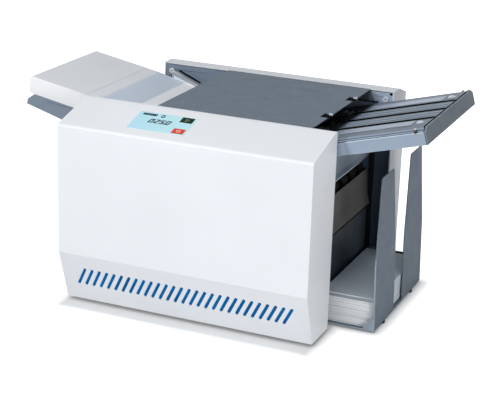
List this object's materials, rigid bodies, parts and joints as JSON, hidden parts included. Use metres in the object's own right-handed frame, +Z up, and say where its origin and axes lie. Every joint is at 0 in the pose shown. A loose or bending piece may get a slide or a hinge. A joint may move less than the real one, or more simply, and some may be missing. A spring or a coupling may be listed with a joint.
{
  "type": "desk paper folding machine",
  "caption": "Desktop paper folder with a sloped infeed table, friction feed roller, fold rollers driven by a gear train, slotted fold plate with sliding stop and a catch tray with tall fins",
  "frame": {"origin": "Centre of the overall box in plan, on the desk surface under the rubber feet.", "axes": "+X is the way the paper runs, from the infeed table to the catch tray; +Y points from the operator to the back; +Z is up."},
  "size_m": [0.6872, 0.438, 0.3457],
  "materials": {
    "white_paint": "satin",
    "grey_paint": "satin",
    "dark_paint": "satin",
    "plate_paint": "satin",
    "frame_paint": "satin",
    "chute_paint": "satin",
    "motor_paint": "satin",
    "vent_blue": "matte",
    "screen": "gloss",
    "board": "satin",
    "bare_steel": "brushed",
    "aluminium": "brushed",
    "brass": "satin",
    "black_rubber": "matte",
    "brown_rubber": "matte",
    "black_plastic": "matte",
    "nylon": "matte",
    "red_plastic": "gloss",
    "paper": "matte"
  },
  "bodies": {
    "chassis": {"front_cover": "white_paint", "vent_liner": "vent_blue", "touch_screen": "screen", "control_board": "board", "rear_cover": "white_paint", "front_frame": "frame_paint", "rear_frame": "frame_paint", "base_pan": "dark_paint", "machine_feet": "black_rubber", "tie_bars": "bare_steel", "fasteners": "bare_steel", "end_panel": "dark_paint", "infeed_table": "grey_paint", "paper_stack": "paper", "separator_pad": "brown_rubber", "feed_guide": "bare_steel", "roller_bearings": "brass", "drive_motor": "motor_paint", "drive_belt": "black_rubber", "feed_belt": "black_rubber", "press_belt": "black_rubber", "upper_fold_plate": "plate_paint", "fold_plate_panel": "plate_paint", "scale_strips": "aluminium", "plate_pins": "bare_steel", "lower_fold_plate": "plate_paint", "exit_guard": "frame_paint", "exit_chute": "chute_paint", "exit_wall": "dark_paint", "power_inlet": "black_plastic", "power_board": "board"},
    "cover": {"top_cover": "grey_paint", "cover_hinges": "black_plastic"},
    "front_guide": {"front_side_guide": "bare_steel"},
    "rear_guide": {"rear_side_guide": "bare_steel"},
    "feed_roller": {"feed_shaft": "bare_steel", "feed_tyres": "black_rubber", "feed_pulley": "nylon"},
    "roller_1": {"fold_roller_1": "bare_steel", "fold_gear_1": "nylon", "feed_drive_pulley": "nylon"},
    "roller_2": {"fold_roller_2": "bare_steel", "fold_gear_2": "nylon", "drive_pulley": "nylon"},
    "roller_3": {"fold_roller_3": "bare_steel", "fold_gear_3": "nylon"},
    "roller_4": {"fold_roller_4": "bare_steel", "fold_gear_4": "nylon"},
    "press_upper": {"press_roller_upper": "bare_steel", "press_gear_upper": "nylon"},
    "press_lower": {"press_roller_lower": "black_rubber", "press_gear_lower": "nylon"},
    "motor_rotor": {"motor_pulley": "bare_steel"},
    "paper_stop": {"fold_stop": "dark_paint", "stop_knobs": "black_plastic"},
    "tray": {"catch_tray": "grey_paint", "tray_feet": "black_rubber", "folded_stack": "paper"},
    "rocker": {"power_switch": "red_plastic"}
  },
  "joints": [
    {"name": "roller_2_spin", "type": "hinge", "parent": "chassis", "child": "roller_2", "pos_m": [0.07603, 0.0145, 0.25271], "axis": [0, 1, 0], "continuous": true},
    {"name": "roller_1_spin", "type": "hinge", "parent": "chassis", "child": "roller_1", "pos_m": [0.06759, 0.0145, 0.28378], "axis": [0, 1, 0], "continuous": true},
    {"name": "roller_3_spin", "type": "hinge", "parent": "chassis", "child": "roller_3", "pos_m": [0.10713, 0.0145, 0.24437], "axis": [0, 1, 0], "continuous": true},
    {"name": "roller_4_spin", "type": "hinge", "parent": "chassis", "child": "roller_4", "pos_m": [0.10433, 0.0145, 0.2123], "axis": [0, 1, 0], "continuous": true},
    {"name": "press_upper_spin", "type": "hinge", "parent": "chassis", "child": "press_upper", "pos_m": [0.14741, 0.0145, 0.213], "axis": [0, 1, 0], "continuous": true},
    {"name": "press_lower_spin", "type": "hinge", "parent": "chassis", "child": "press_lower", "pos_m": [0.14741, 0.0145, 0.183], "axis": [0, 1, 0], "continuous": true},
    {"name": "feed_roller_spin", "type": "hinge", "parent": "chassis", "child": "feed_roller", "pos_m": [-0.05159, 0.0145, 0.28235], "axis": [0, 1, 0], "continuous": true},
    {"name": "motor_spin", "type": "hinge", "parent": "chassis", "child": "motor_rotor", "pos_m": [-0.01297, 0.0145, 0.11], "axis": [0, 1, 0], "continuous": true},
    {"name": "cover_hinge", "type": "hinge", "parent": "chassis", "child": "cover", "pos_m": [-0.08129, 0.0145, 0.308], "axis": [0, -1, 0], "range_deg": [0, 75]},
    {"name": "front_guide_slide", "type": "slide", "parent": "chassis", "child": "front_guide", "axis": [0, -1, 0], "range_m": [0, 0.012]},
    {"name": "rear_guide_slide", "type": "slide", "parent": "chassis", "child": "rear_guide", "axis": [0, 1, 0], "range_m": [0, 0.012]},
    {"name": "paper_stop_slide", "type": "slide", "parent": "chassis", "child": "paper_stop", "axis": [0.965, 0, 0.2622], "range_m": [-0.025, 0.16]},
    {"name": "tray_slide", "type": "slide", "parent": "chassis", "child": "tray", "axis": [1, 0, 0], "range_m": [0, 0.085]},
    {"name": "rocker_pivot", "type": "hinge", "parent": "chassis", "child": "rocker", "pos_m": [-0.13359, 0.2135, 0.05], "axis": [1, 0, 0], "range_deg": [0, 16]}
  ],
  "couplings": [
    {"joint": "roller_1_spin", "follows": "roller_2_spin", "ratio": -1},
    {"joint": "roller_3_spin", "follows": "roller_2_spin", "ratio": -1},
    {"joint": "roller_4_spin", "follows": "roller_2_spin", "ratio": 1},
    {"joint": "press_upper_spin", "follows": "roller_2_spin", "ratio": -1.0741},
    {"joint": "press_lower_spin", "follows": "roller_2_spin", "ratio": 1.0741},
    {"joint": "feed_roller_spin", "follows": "roller_2_spin", "ratio": -1},
    {"joint": "motor_spin", "follows": "roller_2_spin", "ratio": 3}
  ]
}
